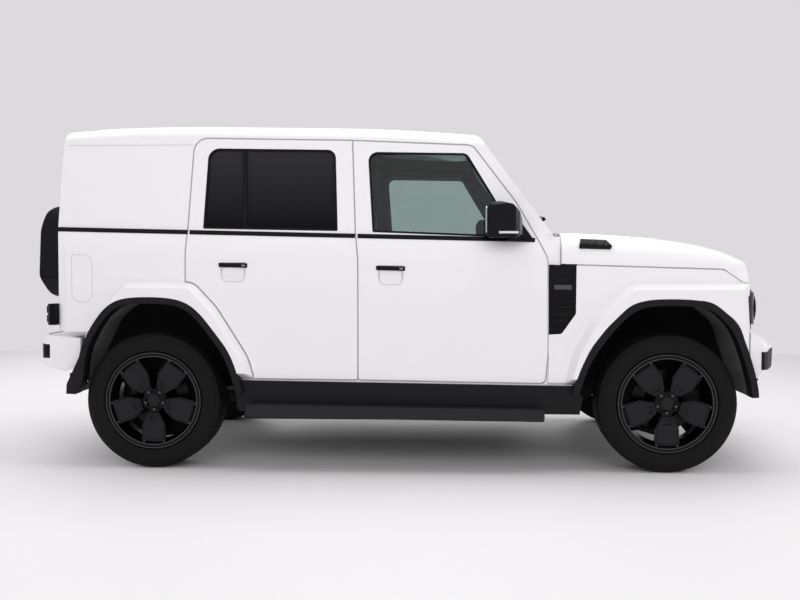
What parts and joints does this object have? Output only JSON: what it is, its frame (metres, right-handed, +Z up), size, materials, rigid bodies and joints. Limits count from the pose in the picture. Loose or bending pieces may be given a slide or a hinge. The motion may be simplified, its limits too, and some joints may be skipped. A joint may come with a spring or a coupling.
{
  "type": "lifted off-road 4x4",
  "caption": "Boxy five-door off-road car with wide arch flares, raised stance, side steps, a side-hinged tailgate carrying a storage case, hinged doors and bonnet, and steering front wheels.",
  "frame": {"origin": "centre of the bounding box at floor level, under the tyres' contact plane", "axes": "+X forward along the car, +Y to the car's left, +Z up"},
  "size_m": [4.2221, 2.1126, 1.8614],
  "materials": {
    "paint_white": "gloss white paint",
    "glass_clear": "lightly green-tinted glass",
    "glass_dark": "dark privacy glass",
    "plastic_gloss_black": "gloss black",
    "plastic_black": "grained black plastic",
    "steel_dark": "coated dark sheet steel",
    "alloy_black": "gloss black painted alloy with satin dark grey pads",
    "tyre": "black rubber",
    "iron": "dark coated iron",
    "seat_cloth": "dark grey cloth"
  },
  "bodies": {
    "body": {"body_shell": "paint_white", "roof": "paint_white", "windscreen": "glass_clear", "front_fenders": "paint_white", "fender_vents": "plastic_gloss_black", "front_flares": "paint_white", "rear_flares": "paint_white", "arch_lips": "plastic_black", "arch_liners": "plastic_black", "front_bumper": "paint_white", "corner_lamps": "plastic_gloss_black", "grille_panel": "plastic_gloss_black", "headlamps": "glass_dark", "front_valance": "plastic_black", "rear_bumper": "paint_white", "rear_lamps": "plastic_gloss_black", "sill_cladding": "plastic_black", "side_steps": "plastic_black", "floor_pan": "steel_dark", "battery_pack": "steel_dark", "front_axle": "iron", "rear_axle": "iron", "cowl_panel": "plastic_black", "front_seats": "seat_cloth", "rear_bench": "seat_cloth", "dashboard": "plastic_black"},
    "door_front_right": {"door_front_right": "paint_white", "window_front_right": "glass_clear", "mirror_right": "plastic_gloss_black"},
    "wheel_front_right": {"wheel_front_right": "alloy_black", "tyre_front_right": "tyre"},
    "door_rear_right": {"door_rear_right": "paint_white", "window_rear_right": "glass_dark"},
    "wheel_rear_right": {"wheel_rear_right": "alloy_black", "tyre_rear_right": "tyre"},
    "knuckle_right": {"knuckle_right": "iron"},
    "door_front_left": {"door_front_left": "paint_white", "window_front_left": "glass_clear", "mirror_left": "plastic_gloss_black"},
    "wheel_front_left": {"wheel_front_left": "alloy_black", "tyre_front_left": "tyre"},
    "door_rear_left": {"door_rear_left": "paint_white", "window_rear_left": "glass_dark"},
    "wheel_rear_left": {"wheel_rear_left": "alloy_black", "tyre_rear_left": "tyre"},
    "knuckle_left": {"knuckle_left": "iron"},
    "tailgate": {"tailgate": "paint_white", "tailgate_window": "glass_dark", "tailgate_case": "plastic_gloss_black"},
    "bonnet": {"bonnet": "paint_white"},
    "steering_wheel": {"steering_wheel": "plastic_black"}
  },
  "joints": [
    {"name": "door_front_right_hinge", "type": "hinge", "parent": "body", "child": "door_front_right", "pos_m": [0.9255, -0.867, 0.81], "axis": [0, 0, 1], "range_deg": [0, 65]},
    {"name": "door_rear_right_hinge", "type": "hinge", "parent": "body", "child": "door_rear_right", "pos_m": [-0.0835, -0.867, 0.81], "axis": [0, 0, 1], "range_deg": [0, 65]},
    {"name": "door_front_left_hinge", "type": "hinge", "parent": "body", "child": "door_front_left", "pos_m": [0.9255, 0.867, 0.81], "axis": [0, 0, -1], "range_deg": [0, 65]},
    {"name": "door_rear_left_hinge", "type": "hinge", "parent": "body", "child": "door_rear_left", "pos_m": [-0.0835, 0.867, 0.81], "axis": [0, 0, -1], "range_deg": [0, 65]},
    {"name": "tailgate_hinge", "type": "hinge", "parent": "body", "child": "tailgate", "pos_m": [-1.769, 0.7565, 1], "axis": [0, 0, -1], "range_deg": [0, 85]},
    {"name": "bonnet_hinge", "type": "hinge", "parent": "body", "child": "bonnet", "pos_m": [0.88, 0, 1.224], "axis": [0, -1, 0], "range_deg": [0, 48]},
    {"name": "steer_right", "type": "hinge", "parent": "body", "child": "knuckle_right", "pos_m": [1.491, -0.728, 0.366], "axis": [0, 0, 1], "range_deg": [-33, 33]},
    {"name": "steer_left", "type": "hinge", "parent": "body", "child": "knuckle_left", "pos_m": [1.491, 0.728, 0.366], "axis": [0, 0, 1], "range_deg": [-33, 33]},
    {"name": "spin_front_right", "type": "hinge", "parent": "knuckle_right", "child": "wheel_front_right", "pos_m": [1.491, -0.8125, 0.366], "axis": [0, 1, 0], "continuous": true},
    {"name": "spin_front_left", "type": "hinge", "parent": "knuckle_left", "child": "wheel_front_left", "pos_m": [1.491, 0.8125, 0.366], "axis": [0, 1, 0], "continuous": true},
    {"name": "spin_rear_right", "type": "hinge", "parent": "body", "child": "wheel_rear_right", "pos_m": [-1.244, -0.8125, 0.366], "axis": [0, 1, 0], "continuous": true},
    {"name": "spin_rear_left", "type": "hinge", "parent": "body", "child": "wheel_rear_left", "pos_m": [-1.244, 0.8125, 0.366], "axis": [0, 1, 0], "continuous": true},
    {"name": "steering_wheel_turn", "type": "hinge", "parent": "body", "child": "steering_wheel", "pos_m": [0.43, 0.37, 1.075], "axis": [0.9272, 0, -0.3746], "range_deg": [-480, 480]}
  ],
  "couplings": [
    {"joint": "steer_left", "follows": "steer_right", "ratio": 1},
    {"joint": "steering_wheel_turn", "follows": "steer_right", "ratio": -14}
  ]
}
